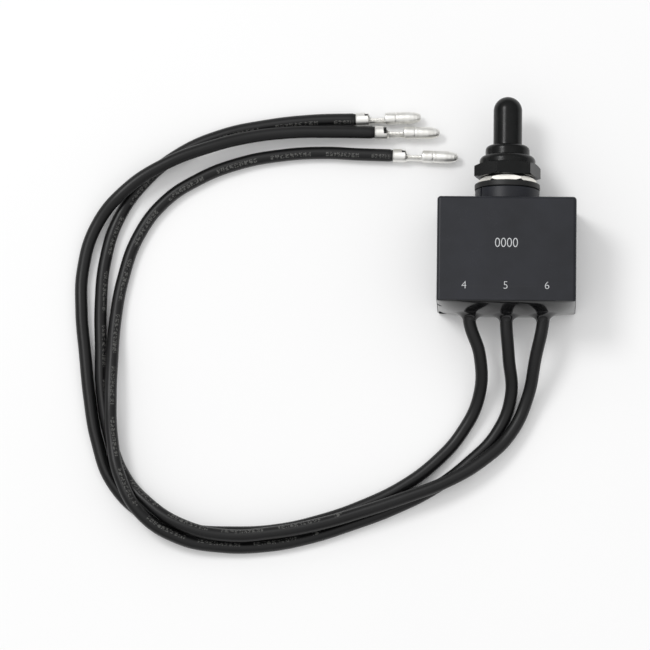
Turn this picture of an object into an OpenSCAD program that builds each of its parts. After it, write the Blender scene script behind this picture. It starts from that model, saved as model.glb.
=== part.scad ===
// Sealed panel toggle switch with three soldered leads, potted in a moulded case.
// It lies on the back of its case: +Y runs along the toggle axis towards the tip of the boot,
// +Z is up, and the origin is the centre of the case's back face. Sizes are millimetres.

/* [Case] */
// Width of the case, along X
case_w = 39.5; // [37:0.5:44]
// Height of the case, along the toggle axis
case_h = 30; // [29:0.5:34]
// Depth of the case, from its back face to its front face
case_t = 24; // [22.5:0.5:28]
// Wall thickness of the case
case_wall = 2; // [1.6:0.1:2.4]
// Radius of the outer edges of the case
case_round = 1; // [0.5:0.1:1.5]
// Diameter of the round boss under the gasket
boss_d = 18.4; // [17:0.1:19]
// Height of the boss above the case
boss_h = 3.6; // [3.2:0.1:5]
// Rounding of the boss's rim
boss_round = 0.3; // [0.1:0.1:0.8]
// Width of the notch down the side of the boss
boss_notch_w = 0.5; // [0.3:0.1:1]
// Depth of that notch
boss_notch_depth = 0.35; // [0.2:0.05:0.6]
// Turn of that notch about the toggle axis, in degrees
boss_notch_turn = 216; // [0:1:359]

/* [Gasket and panel nut] */
// Outer diameter of the gasket washer
gasket_d = 18.7; // [17:0.1:20]
// Thickness of the gasket washer
gasket_t = 1.8; // [1:0.1:2.5]
// Rounding of the gasket's rim
gasket_round = 0.4; // [0.1:0.1:0.4]
// Width of the panel nut between its thread and its flats
nut_wall = 1.2; // [1:0.05:1.8]
// Panel nut, thickness
nut_t = 1.75; // [1.5:0.05:2.5]
// Height of the chamfer on the nut's corners
nut_chamfer = 0.6; // [0.3:0.1:0.7]
// Turn of the panel nut about the toggle axis, in degrees
nut_turn = 2; // [0:1:60]

/* [Boot] */
// Wall of the rubber boot over the lever
boot_wall = 0.9; // [0.7:0.05:1.2]
// Wall of the boot's shoulder
shoulder_wall = 1.3; // [1:0.05:1.5]
// Height of the round sealing lip under the hexagon
boot_lip_h = 0.15; // [0.1:0.05:0.4]
// Rubber between the brass ring and the flats of the boot's hexagon
hex_wall = 1.5; // [1.3:0.05:2.1]
// Height of the hexagon's flats at their corners
boot_hex_h = 3.2; // [2.6:0.1:4]
// Height of the chamfer under the hexagon's corners
boot_hex_chamfer = 0.3; // [0.2:0.05:0.8]
// Turn of the hexagon about the toggle axis, in degrees
boot_hex_turn = -12.5; // [-30:0.5:30]
// Rise of the bevel over the hexagon
boot_bevel_h = 0.6; // [0.3:0.1:0.9]
// Diameter of the lower dome
dome_d = 16; // [15.6:0.1:16.4]
// Height of the lower dome
dome_h = 2.5; // [2:0.1:3]
// Rounding of the lower dome
dome_round = 1.75; // [1.4:0.05:1.9]
// Diameter of the upper shoulder
shoulder_d = 12.6; // [12.2:0.1:13]
// Height of the upper shoulder
shoulder_h = 2.95; // [2.6:0.05:3.6]
// Rounding of the upper shoulder
shoulder_round = 1.2; // [0.6:0.1:2]
// Diameter of the finger over the lever
finger_d = 8.2; // [7.8:0.1:8.6]
// Height of the finger with its round tip
finger_h = 14.45; // [13:0.05:17]
// Wall of the brass ring moulded into the hexagon
insert_wall = 0.9; // [0.7:0.05:1.1]

/* [Bushing] */
// Outside diameter of the bushing's thread
bushing_d = 11.9; // [11.7:0.1:12]
// Wall of the bushing
bushing_wall = 1.5; // [1.4:0.05:1.6]
// How far the bushing stands out of the brass ring
bushing_proud = 0.25; // [0:0.05:0.5]
// Chamfer of the bushing's mouth
bushing_chamfer = 0.5; // [0.2:0.1:0.8]
// Diameter of the flange under the frame plate
flange_d = 14.6; // [14:0.1:15]
// Thickness of that flange
flange_t = 1.2; // [1:0.1:1.5]
// Width of the keyway along the thread
keyway_w = 1.6; // [1:0.1:2]
// Depth of the keyway
keyway_depth = 0.7; // [0.4:0.1:0.9]

/* [Lever and plunger] */
// Tilt of the lever to each side, in degrees
throw_angle = 13; // [11:0.5:14]
// Height of the lever's pivot above the case
pivot_h = 2.8; // [2.5:0.1:3.2]
// Diameter of the pivot pin
pin_d = 1.6; // [1.4:0.1:1.8]
// How far each end of the pin lies under the thread's outside
pin_recess = 0.2; // [0:0.1:0.5]
// How far the lever's neck reaches out of the bushing before it widens
neck_proud = 1; // [0.5:0.1:1.5]
// Length over which the lever widens to its bat
bat_taper_l = 10.3; // [8:0.1:11]
// Wall of the lever's tail around the plunger
tail_wall = 0.9; // [0.7:0.05:1]
// Solid web between the pin's hole and the plunger's bore
web_l = 2.5; // [2:0.1:2.8]
// Straight length of the plunger
plunger_l = 3.8; // [3.4:0.1:4.2]
// How far the plunger's nose stands out of the tail
plunger_proud = 1.4; // [1.2:0.1:1.6]
// Wire diameter of the plunger's spring
spring_wire = 0.4; // [0.3:0.05:0.45]
// Turns of the plunger's spring
spring_turns = 5; // [4:1:6]

/* [Contacts and base] */
// Thickness of the steel frame plate
frame_t = 1; // [0.8:0.1:1.2]
// Thickness of the two clinched arms of the frame
arm_t = 0.6; // [0.4:0.1:0.6]
// Width of those arms
arm_w = 8; // [6:0.5:10]
// Reach of the clinched lips under the base
lip_reach = 2; // [1:0.1:2.5]
// Height of the switch base
base_h = 15; // [14.6:0.1:15.6]
// Wall of the switch base at its ends
base_wall = 2; // [1.6:0.1:2.4]
// Floor of the switch base
floor_t = 3; // [2.6:0.1:3.2]
// Depth of the hollow in the base, along Z
hollow_t = 13; // [12:0.1:13.5]
// Tilt of the rocker to each side, in degrees
rocker_angle = 8; // [6:0.5:8.5]
// Distance of the contacts from the toggle axis
contact_x = 9; // [8.5:0.1:9.5]
// Diameter of the contact buttons
contact_d = 2.6; // [2:0.1:3]
// Height of the contact buttons
contact_h = 0.7; // [0.5:0.1:0.8]
// Rounding of the contact buttons
contact_round = 0.2; // [0.1:0.05:0.2]
// Thickness of the rocker
rocker_t = 1; // [0.8:0.1:1.2]
// Width of the rocker, along Z
rocker_w = 5; // [4:0.1:6]
// Width of the rocker's saddle, along X
saddle_w = 8; // [7:0.1:9]
// Radius of the ridge that the rocker tilts on
ridge_r = 1; // [0.8:0.05:1.1]
// How far the ridge's centre lies under the rocker
ridge_drop = 0.1; // [0.05:0.05:0.2]
// Thickness of the terminals
term_t = 0.8; // [0.6:0.1:1]
// Width of the terminals
term_w = 6; // [5:0.1:7]
// How far a terminal's foot reaches past its contact
foot_lip = 0.3; // [0.1:0.1:0.6]
// Length of the solder lugs under the base
lug_l = 5.5; // [4.5:0.1:6]
// Solid length of a lug between the base and its slot
lug_neck = 1.5; // [1:0.1:2]

/* [Leads and bullets] */
// Outside diameter of the leads
lead_d = 3.6; // [3:0.1:3.6]
// Spacing of the leads where they leave the potting
lead_pitch = 10.5; // [10.2:0.1:11]
// Straight length of the leads outside the case
straight_l = 4; // [3.5:0.1:5]
// Diameter of the bared strands
strand_d = 1.4; // [1.2:0.1:1.8]
// Strand bared between a lug's end and the insulation
strip_l = 2.5; // [1:0.1:3]
// Bulge of the potting over the rim of the case
pot_crown = 1.2; // [0.8:0.1:1.6]
// Radius of the potting's meniscus around each lead
meniscus_r = 2.2; // [1.6:0.1:2.6]
// Length of the bullet terminal's grip on the insulation
grip_l = 3.3; // [3:0.1:4]
// Sheet thickness of the bullet terminals
sheet_t = 0.3; // [0.25:0.05:0.4]
// How far the grip squeezes the insulation, on its radius
crimp_squeeze = 0.25; // [0.1:0.05:0.35]
// Length over which the insulation narrows in front of the grip
crimp_neck = 1; // [0.6:0.1:1.5]
// Length of the open trough over the strands
trough_l = 5.4; // [5:0.1:6]
// Length of the step from the grip down to the trough
step_l = 1.2; // [0.8:0.1:1.6]
// Inner diameter of the trough
trough_d = 2.3; // [2:0.1:2.5]
// How far the edges of the trough lie under its centreline
wing_drop = 0.25; // [0:0.05:0.5]
// Length of trough left free past the strands
trough_free = 0.5; // [0.2:0.1:1]
// Diameter of the bullet
bullet_d = 3.5; // [3.3:0.1:4]
// Length of the bullet
bullet_l = 9.9; // [9:0.1:11]
// Chamfer of the bullet's shoulder
bullet_chamfer = 0.2; // [0.1:0.05:0.4]
// Distance of the bullet's groove from that shoulder
groove_at = 2.9; // [2:0.1:4]
// Depth of the groove, which is twice as wide
groove = 0.12; // [0.05:0.01:0.2]
// Length of the bullet's tapered nose
nose_l = 3.4; // [2.5:0.1:4.5]
// Diameter of the bullet's blunt end
bullet_tip_d = 2.2; // [1.8:0.1:2.6]

/* [Fits] */
// Radial clearance of the bushing in the case, gasket, nut and brass ring
bushing_fit = 0.05; // [0.02:0.01:0.1]
// Radial clearance of the lever on its pivot pin
pin_fit = 0.03; // [0.02:0.01:0.06]
// Radial clearance of the plunger in the lever's tail
plunger_fit = 0.05; // [0.03:0.01:0.1]
// Radial clearance of the spring in the plunger's bore
spring_fit = 0.15; // [0.1:0.05:0.3]
// Radial clearance of the rocker on its ridge
ridge_fit = 0.05; // [0.03:0.01:0.08]
// Clearance between the boot and the lever and bushing inside it
boot_gap = 0.2; // [0.15:0.05:0.3]
// Least clearance between the tilted lever and the bushing
swing_gap = 0.18; // [0.15:0.01:0.25]
// Clearance of the bushing's flange in the base
flange_gap = 0.15; // [0.1:0.05:0.3]
// Clearance between the frame's arms and the case
arm_gap = 0.15; // [0.1:0.05:0.3]
// Clearance between the base and the front and back walls of the case
base_gap = 1; // [0.5:0.1:1.2]
// Clearance of the contacts and the plunger's nose at their closest
contact_gap = 0.1; // [0.08:0.01:0.15]
// Clearance of the grip round the insulation and of the strands in the trough
crimp_fit = 0.05; // [0.02:0.01:0.1]

/* [Hidden] */
$fn = 64;

// Overrun of a cut past the face that it opens
over = 1;
// Overlap of two shapes that are joined into one piece
sink = 0.5;
// Overrun of a turned outline past the corners of a hexagon
skin = 0.1;

case_top = case_h / 2;
axis_z = case_t / 2;
cavity_w = case_w - 2 * case_wall;
cavity_t = case_t - 2 * case_wall;

// Levels along the toggle axis, from the case's top plane
gasket_a = boss_h;
nut_a = gasket_a + gasket_t;
boot_a = nut_a + nut_t;
hex_a = boot_a + boot_lip_h;
bevel_a = hex_a + boot_hex_h;
dome_a = bevel_a + boot_bevel_h;
shoulder_a = dome_a + dome_h;
finger_a = shoulder_a + shoulder_h;
tip_a = finger_a + finger_h;
plate_a = -case_wall - frame_t;
base_a = plate_a - base_h;
floor_a = base_a + floor_t;
slot_a = base_a - lug_neck;
lug_a = base_a - lug_l;
lead_a = lug_a - strip_l;

// Lever, bushing and what is screwed on it
bushing_r = bushing_d / 2;
bushing_hole_r = bushing_r + bushing_fit;
bore_r = bushing_r - bushing_wall;
bushing_a = bevel_a + bushing_proud;
nut_af = bushing_d + 2 * nut_wall;
insert_d = 2 * (bushing_hole_r + insert_wall);
boot_hex_af = insert_d + 2 * hex_wall;
swing_r = (bore_r - swing_gap) * cos(throw_angle);
neck_r = swing_r - (bushing_a - pivot_h) * sin(throw_angle);
tail_r = swing_r - (pivot_h - plate_a + flange_t) * sin(throw_angle);
ball_r = bore_r - 2 * swing_gap;
finger_bore_r = finger_d / 2 - boot_wall;
bat_r = finger_bore_r - boot_gap;
bat_tip_a = tip_a - boot_wall - boot_gap;
plunger_bore_r = tail_r - tail_wall;
plunger_r = plunger_bore_r - plunger_fit;
spring_top_a = pivot_h - pin_d / 2 - web_l;

// Contacts, from the base's floor up to the plunger
foot_a = floor_a + term_t;
fixed_a = foot_a + contact_h;
contact_drop = (contact_x + contact_d / 2) * sin(rocker_angle);
moving_a = fixed_a + contact_drop + contact_gap;
rocker_a = moving_a + contact_h;
ridge_a = rocker_a - ridge_drop;
saddle_a = ridge_a + ridge_r + ridge_fit + rocker_t;
nose_a = saddle_a + contact_gap;
tail_a = nose_a + plunger_proud;
plunger_a = nose_a + plunger_r + plunger_l;

// Switch base
base_w = cavity_w - 2 * (arm_gap + arm_t);
base_t = cavity_t - 2 * base_gap;
hollow_w = base_w - 2 * base_wall;

// Bullet terminals
lead_sides = 8;
lead_r = lead_d / 2;
crimped_r = lead_r - crimp_squeeze;
grip_bore_r = crimped_r + crimp_fit;
grip_r = grip_bore_r + sheet_t;
trough_bore_r = trough_d / 2;
trough_r = trough_bore_r + sheet_t;
bullet_a = grip_l + trough_l;
bullet_end = bullet_a + bullet_l;

// Routes of the leads: x, y and the height of the lead's underside over the table
exit_h = axis_z - lead_r;
route_4 = concat(lead_root(-1), [
    [-7.4, -28.8, 7.6], [-7.6, -39.6, 2.4], [-12.3, -49.6, 0.2], [-19.7, -58.2, 0], [-29.3, -65.5, 0],
    [-40.5, -71.1, 0], [-52.4, -75.4, 0], [-64.9, -78.3, 0], [-77.5, -79.1, 0], [-90.2, -78.3, 0],
    [-102.3, -74.4, 0], [-112.1, -65.2, 0], [-116.9, -52.9, 0], [-119.3, -40.4, 0], [-120.8, -27.9, 0],
    [-122.1, -15.5, 0], [-121.9, -3.1, 0], [-118.2, 9.4, 1], [-109.9, 19.4, 3.6], [-98.3, 27.2, 4],
    [-86.5, 32, 3.6], [-74.6, 35.3, 2.8], [-62.5, 36.9, 2.3], [-50.5, 37.2, 2], [-38.3, 37.2, 1.6]]);
route_5 = concat(lead_root(0), [
    [0.8, -29, 7.6], [1.5, -39.6, 2.4], [-2.3, -49.6, 0.2], [-10.5, -58.5, 0], [-20.2, -65.9, 0],
    [-31.6, -71.8, 0], [-43.7, -76.5, 0], [-56, -80.5, 0], [-68.5, -82.9, 0], [-81, -83.2, 0.6],
    [-93, -81, 2.3], [-103.5, -74.5, 4.8], [-109.6, -64.3, 4.9], [-112.3, -52.4, 4], [-112.9, -41, 4],
    [-112.8, -30, 2.5], [-112.3, -18.4, 0.5], [-110.3, -5.8, 0], [-106.2, 6.4, 0], [-99.1, 16.4, 0],
    [-88.9, 23.5, 0], [-77.2, 28.2, 0], [-65.1, 30.6, 0], [-53, 31.4, 0.1], [-43, 31, 0.3],
    [-33, 30.7, 0.4]]);
route_6 = concat(lead_root(1), [
    [8.5, -28.9, 7.8], [6.2, -40.1, 3], [1.5, -50.2, 2], [-6.2, -58, 3.1], [-16.6, -64.4, 3.8],
    [-28.4, -69.1, 3.9], [-40.9, -73.4, 3.8], [-53.4, -77.1, 3.8], [-66, -79.5, 3.8],
    [-78.6, -80.4, 3.8], [-91.1, -77.8, 3.9], [-102.1, -70.9, 2.7], [-109.3, -62.2, 0.5],
    [-113.4, -51, 0], [-115.7, -38.6, 0], [-116.3, -26, 0], [-116.6, -13.5, 0], [-115.6, -0.8, 0],
    [-111.9, 11.7, 0], [-104.7, 22.4, 0], [-94.7, 30.8, 0], [-82.7, 36.3, 0], [-70, 39.2, 0],
    [-56.5, 40.8, 0.2], [-43.8, 41.2, 0.4]]);
// Roll of each bullet terminal about its lead, in degrees; its open side faces up at 0
roll_4 = -62;
roll_5 = -62;
roll_6 = -62;

// The two points of a lead inside the potting and just out of it; side is -1, 0 or 1
function lead_root(side) = [
    [side * lead_pitch, case_top + lead_a, exit_h],
    [side * lead_pitch, -case_top - straight_l, exit_h]];
// Centreline of a lead, with more points where it narrows and where it ends inside its terminal's grip
function centreline(route) = let (c = [for (p = route) p + [0, 0, lead_r]], n = len(c),
    end = c[n - 1], d = unit(end - c[n - 2]))
    concat([for (i = [0 : n - 2]) c[i]], [end - crimp_neck * d, end, end + grip_l * d]);
function unit(v) = v / norm(v);
function tangent(p, i) = unit(p[min(i + 1, len(p) - 1)] - p[max(i - 1, 0)]);
function ring(c, t, r, n) = let (s = unit(cross([0, 0, 1], t)), u = cross(t, s))
    [for (k = [0 : n - 1]) let (w = (k + 0.5) * 360 / n) c + r * (cos(w) * s + sin(w) * u)];

// Tube of n sides swept along the points p, with a radius for each of them
module tube(p, radii, n) {
    m = len(p);
    rings = [for (i = [0 : m - 1]) each ring(p[i], tangent(p, i), radii[i], n)];
    sides = [for (i = [0 : m - 2], k = [0 : n - 1]) let (a = i * n + k, b = i * n + (k + 1) % n)
        each [[a, b + n, b], [a, a + n, b + n]]];
    ends = [[for (k = [0 : n - 1]) k], [for (k = [n - 1 : -1 : 0]) (m - 1) * n + k]];
    polyhedron(rings, concat(sides, ends));
}

// Places its children on the toggle axis: their z runs along it from the case's top plane
module on_axis(a = 0) {
    translate([0, case_top + a, axis_z]) rotate([-90, 0, 0]) children();
}

// A box centred on the toggle axis, from level a0 to level a1
module slab(w, t, a0, a1, x = 0) {
    on_axis(a0) translate([x - w / 2, -t / 2, 0]) cube([w, t, a1 - a0]);
}

// A rectangle with all its corners rounded
module rounded_rect(w, h, r) {
    square([w - 2 * r, h], center = true);
    square([w, h - 2 * r], center = true);
    for (x = [-1, 1], y = [-1, 1]) translate([x * (w / 2 - r), y * (h / 2 - r)]) circle(r);
}

// A rectangle with only its two upper corners rounded
module capped_rect(w, h, r) {
    translate([-w / 2, -h / 2]) square([w, h - r]);
    translate([r - w / 2, -h / 2]) square([w - 2 * r, h]);
    for (x = [-1, 1]) translate([x * (w / 2 - r), h / 2 - r]) circle(r);
}

// Section of a ring with its two outer edges rounded
module ring_section(ri, ro, t, r) {
    translate([ri, 0]) square([ro - r - ri, t]);
    translate([ri, r]) square([ro - ri, t - 2 * r]);
    for (y = [r, t - r]) translate([ro - r, y]) circle(r);
}

// A round step with its top edge rounded
module round_step(r, h, edge) rotate_extrude() {
    square([r, h - edge]);
    square([r - edge, h]);
    translate([r - edge, h - edge]) intersection() {
        circle(edge);
        square(edge);
    }
}

// A hexagonal prism across its flats
module hexagon(af, h) {
    cylinder(r = af / sqrt(3), h = h, $fn = 6);
}

// A pin across the toggle axis, along the depth of the case
module cross_pin(r, l) {
    rotate([90, 0, 0]) cylinder(r = r, h = l, center = true);
}

// Moulded case, open at the end where the leads leave it
module case() color([0.13, 0.13, 0.14]) difference() {
    union() {
        intersection() {
            on_axis(-case_h) linear_extrude(case_h) rounded_rect(case_w, case_t, case_round);
            translate([0, 0, -over]) linear_extrude(case_t + 2 * over)
                capped_rect(case_w, case_h, case_round);
            translate([-case_w / 2 - over, 0, axis_z]) rotate([0, 90, 0])
                linear_extrude(case_w + 2 * over) capped_rect(case_t, case_h, case_round);
        }
        on_axis(-case_wall) rotate_extrude() ring_section(0, boss_d / 2, case_wall + boss_h, boss_round);
    }
    slab(cavity_w, cavity_t, -case_h - over, -case_wall);
    on_axis(-case_wall - over) cylinder(r = bushing_hole_r, h = case_wall + boss_h + 2 * over);
    on_axis() rotate([0, 0, boss_notch_turn]) translate([boss_d / 2 - boss_notch_depth, -boss_notch_w / 2, 0])
        cube([boss_notch_depth + over, boss_notch_w, boss_h + over]);
}

// Epoxy that fills the case behind the base, with a low crown and a meniscus round each lead
module potting() color([0.09, 0.09, 0.1]) difference() {
    union() {
        slab(cavity_w, cavity_t, -case_h, base_a);
        on_axis(-case_h) intersection() {
            crown(cavity_w / 2, cavity_t);
            rotate([0, 0, 90]) crown(cavity_t / 2, cavity_w);
        }
        for (side = [-1, 0, 1]) on_axis(-case_h) translate([side * lead_pitch, 0, 0]) meniscus();
    }
    frame_arms();
    for (side = [-1, 0, 1]) {
        lug(side * lead_pitch);
        on_axis(lead_a) translate([side * lead_pitch, 0, 0]) rotate([180, 0, 0])
            cylinder(r = lead_r, h = case_h);
        bared_end(side);
    }
}

// A shallow cylindrical crown that hangs from the plane z = 0, half wide and long
module crown(half, long) {
    r = (half * half + pot_crown * pot_crown) / (2 * pot_crown);
    intersection() {
        translate([0, 0, r - pot_crown]) rotate([90, 0, 0])
            cylinder(r = r, h = long, center = true, $fn = 128);
        translate([-half, -long / 2, -pot_crown]) cube([2 * half, long, pot_crown]);
    }
}

// The potting drawn up around a lead, hanging from the plane z = 0
module meniscus() {
    foot = pot_crown / 2;
    mirror([0, 0, 1]) rotate_extrude() {
        square([lead_r + meniscus_r, foot]);
        difference() {
            translate([0, foot]) square([lead_r + meniscus_r, meniscus_r]);
            translate([lead_r + meniscus_r, foot + meniscus_r]) circle(meniscus_r);
        }
    }
}

// Sealing washer between the boss and the panel
module gasket_washer() color([0.1, 0.1, 0.1]) on_axis(gasket_a)
    rotate_extrude() ring_section(bushing_hole_r, gasket_d / 2, gasket_t, gasket_round);

// Thin plated nut with the corners of both its faces chamfered
module panel_nut() color([0.8, 0.8, 0.78]) on_axis(nut_a) difference() {
    flat_r = nut_af / 2;
    corner_r = nut_af / sqrt(3);
    rim_h = nut_chamfer * (corner_r + skin - flat_r) / (corner_r - flat_r);
    intersection() {
        rotate([0, 0, -nut_turn]) hexagon(nut_af, nut_t);
        rotate_extrude() polygon([[0, 0], [flat_r, 0], [corner_r + skin, rim_h],
            [corner_r + skin, nut_t - rim_h], [flat_r, nut_t], [0, nut_t]]);
    }
    translate([0, 0, -over]) cylinder(r = bushing_hole_r, h = nut_t + 2 * over);
}

// Rubber boot: sealing lip, hexagon, dome, shoulder and the finger over the lever
module boot() color([0.08, 0.08, 0.09]) difference() {
    union() {
        on_axis(boot_a) cylinder(r = (insert_d + boot_wall) / 2, h = boot_lip_h + sink);
        on_axis(hex_a) boot_hexagon();
        on_axis(dome_a - sink) round_step(dome_d / 2, dome_h + sink, dome_round);
        on_axis(shoulder_a - sink) round_step(shoulder_d / 2, shoulder_h + sink, shoulder_round);
        on_axis(finger_a - sink) cylinder(d = finger_d, h = finger_h + sink - finger_d / 2);
        on_axis(tip_a - finger_d / 2) sphere(d = finger_d);
    }
    on_axis(boot_a - over) cylinder(r = bushing_r + boot_gap, h = bushing_a + boot_gap - boot_a + over);
    on_axis(hex_a) cylinder(d = insert_d, h = boot_hex_h);
    on_axis(bevel_a) cylinder(r = shoulder_d / 2 - shoulder_wall, h = finger_a - bevel_a - shoulder_wall);
    on_axis(bevel_a) cylinder(r = finger_bore_r, h = tip_a - bevel_a - boot_wall - finger_bore_r);
    on_axis(tip_a - boot_wall - finger_bore_r) sphere(finger_bore_r);
}

// The boot's hexagon, chamfered underneath and bevelled up to the foot of the dome
module boot_hexagon() {
    flat_r = boot_hex_af / 2;
    corner_r = boot_hex_af / sqrt(3);
    full_h = boot_hex_h + boot_bevel_h;
    rim_h = boot_hex_chamfer * (corner_r + skin - flat_r) / (corner_r - flat_r);
    bevel_drop = skin * boot_bevel_h / (corner_r - dome_d / 2);
    intersection() {
        rotate([0, 0, -boot_hex_turn]) hexagon(boot_hex_af, full_h);
        rotate_extrude() polygon([[0, 0], [flat_r, 0], [corner_r + skin, rim_h],
            [corner_r + skin, boot_hex_h - bevel_drop], [dome_d / 2, full_h], [0, full_h]]);
    }
}

// Threaded brass ring that holds the boot on the bushing
module boot_insert() color([0.75, 0.6, 0.3]) on_axis(hex_a) difference() {
    cylinder(d = insert_d, h = boot_hex_h);
    translate([0, 0, -over]) cylinder(r = bushing_hole_r, h = boot_hex_h + 2 * over);
}

// Threaded bushing with its flange, keyway and the holes for the pivot pin
module bushing() color([0.72, 0.72, 0.7]) difference() {
    length = bushing_a - plate_a;
    on_axis(plate_a) rotate_extrude() polygon([[0, -flange_t], [flange_d / 2, -flange_t],
        [flange_d / 2, 0], [bushing_r, 0], [bushing_r, length - bushing_chamfer],
        [bushing_r - bushing_chamfer, length], [0, length]]);
    on_axis(plate_a - flange_t - over) cylinder(r = bore_r, h = length + flange_t + 2 * over);
    on_axis(0) translate([-bushing_r - over, -keyway_w / 2, 0])
        cube([over + keyway_depth, keyway_w, bushing_a + over]);
    on_axis(pivot_h) cross_pin(pin_d / 2, bushing_d + 2 * over);
}

// Bat lever: round-ended bat, neck, ball on the pivot and the tail that holds the plunger
module lever() color([0.78, 0.78, 0.76]) difference() {
    taper_a = bushing_a + neck_proud;
    full_a = taper_a + bat_taper_l;
    round_a = bat_tip_a - bat_r;
    union() {
        on_axis() rotate_extrude() polygon([[0, tail_a], [tail_r, tail_a], [tail_r, pivot_h],
            [neck_r, pivot_h], [neck_r, taper_a], [bat_r, full_a], [bat_r, round_a], [0, round_a]]);
        on_axis(pivot_h) sphere(ball_r);
        on_axis(round_a) sphere(bat_r);
    }
    on_axis(tail_a - over) cylinder(r = plunger_bore_r, h = spring_top_a - tail_a + over);
    on_axis(pivot_h) cross_pin(pin_d / 2 + pin_fit, bushing_d);
}

// Pin through the bushing that the lever tilts on
module pivot_pin() color([0.7, 0.7, 0.7]) on_axis(pivot_h) cross_pin(pin_d / 2, bushing_d - 2 * pin_recess);

// Round-nosed plunger in the lever's tail
module plunger() color([0.9, 0.88, 0.8]) {
    on_axis(nose_a + plunger_r) cylinder(r = plunger_r, h = plunger_l);
    on_axis(nose_a + plunger_r) sphere(plunger_r);
}

// Coil spring between the plunger and the blind end of its bore
module plunger_spring() color([0.6, 0.6, 0.6]) on_axis(plunger_a + spring_wire / 2) {
    steps = 12;
    wire_sides = 6;
    coil_r = plunger_bore_r - spring_wire / 2 - spring_fit;
    rise = spring_top_a - plunger_a - spring_wire;
    last = spring_turns * steps;
    tube([for (i = [0 : last])
        [coil_r * cos(i * 360 / steps), coil_r * sin(i * 360 / steps), rise * i / last]],
        [for (i = [0 : last]) spring_wire / 2], wire_sides);
}

// Steel plate under the end wall of the case, with two arms clinched under the base
module frame_plate() color([0.66, 0.66, 0.66]) difference() {
    union() {
        slab(base_w + 2 * arm_t, base_t, plate_a, plate_a + frame_t);
        frame_arms();
    }
    on_axis(plate_a - over) cylinder(r = bushing_r, h = frame_t + 2 * over);
}

// The two arms of the frame and their clinched lips
module frame_arms() {
    for (side = [-1, 1]) {
        slab(arm_t, arm_w, base_a - arm_t, plate_a + frame_t, side * (base_w + arm_t) / 2);
        slab(lip_reach + arm_t, arm_w, base_a - arm_t, base_a, side * (base_w - lip_reach + arm_t) / 2);
    }
}

// Moulded base, hollow for the rocker and slotted for the terminals
module switch_base() color([0.3, 0.16, 0.09]) difference() {
    slab(base_w, base_t, base_a, plate_a);
    slab(hollow_w, hollow_t, floor_a, plate_a + over);
    on_axis(plate_a - flange_t - flange_gap) cylinder(r = flange_d / 2 + flange_gap, h = flange_t + over);
    for (side = [-1, 0, 1]) slab(term_t, term_w, base_a - over, floor_a + over, side * lead_pitch);
}

// Rocker that tilts on the ridge of the common terminal
module rocker() color([0.72, 0.45, 0.25]) difference() {
    union() {
        slab(2 * contact_x + contact_d, rocker_w, rocker_a, rocker_a + rocker_t);
        slab(saddle_w, rocker_w, ridge_a, saddle_a);
    }
    on_axis(ridge_a) cross_pin(ridge_r + ridge_fit, rocker_w + 2 * over);
}

// A contact button with rounded edges, standing on the plane z = 0
module contact_button() {
    rotate_extrude() ring_section(0, contact_d / 2, contact_h, contact_round);
}

// Silver buttons under the two ends of the rocker
module rocker_contacts() color([0.85, 0.85, 0.83])
    for (side = [-1, 1]) on_axis(moving_a) translate([side * contact_x, 0, 0]) contact_button();

// Silver buttons on the feet of the two outer terminals
module fixed_contacts() color([0.85, 0.85, 0.83])
    for (side = [-1, 1]) on_axis(foot_a) translate([side * contact_x, 0, 0]) contact_button();

// A slotted solder lug with its stem through the base's floor and up to the level top, at x
module lug(x, top = floor_a) difference() {
    slab(term_t, term_w, lug_a, top, x);
    slab(term_t + 2 * over, strand_d, lug_a - over, slot_a, x);
}

// Middle terminal, which ends in the ridge that carries the rocker
module common_terminal() color([0.75, 0.58, 0.3]) {
    lug(0, ridge_a);
    on_axis(ridge_a) cross_pin(ridge_r, term_w);
}

// Outer terminal, with the foot that carries a fixed contact
module throw_terminal(side) color([0.75, 0.58, 0.3]) {
    inner = contact_x - contact_d / 2 - foot_lip;
    outer = lead_pitch + term_t / 2;
    lug(side * lead_pitch, foot_a);
    slab(outer - inner, term_w, floor_a, foot_a, side * (inner + outer) / 2);
}

// Terminal under the lead marked 4
module terminal_4() throw_terminal(-1);
// Terminal under the lead marked 6
module terminal_6() throw_terminal(1);

// Stripped end of a lead in the slot of its lug
module bared_end(side) {
    on_axis(lead_a) translate([side * lead_pitch, 0, 0]) cylinder(d = strand_d, h = slot_a - lead_a);
}

// Places its children at the end of a route: their z runs along the lead's last stretch
module at_lead_end(route, roll) {
    n = len(route);
    d = unit(route[n - 1] - route[n - 2]);
    translate(route[n - 1] + [0, 0, lead_r])
        rotate([0, acos(d[2]), atan2(d[1], d[0])]) rotate([0, 0, roll]) children();
}

// Tinned strands of a lead, bared in its lug and in its bullet terminal
module strands(side, route, roll) color([0.7, 0.69, 0.66]) {
    bared_end(side);
    at_lead_end(route, roll) translate([trough_bore_r - crimp_fit - strand_d / 2, 0, grip_l])
        cylinder(d = strand_d, h = trough_l - trough_free);
}

// Insulated lead, laid along its route and squeezed where its terminal grips it
module lead(route) color([0.07, 0.07, 0.08]) {
    p = centreline(route);
    gripped = len(p) - 2;
    tube(p, [for (i = [0 : len(p) - 1]) i < gripped ? lead_r : crimped_r], lead_sides);
}

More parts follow.
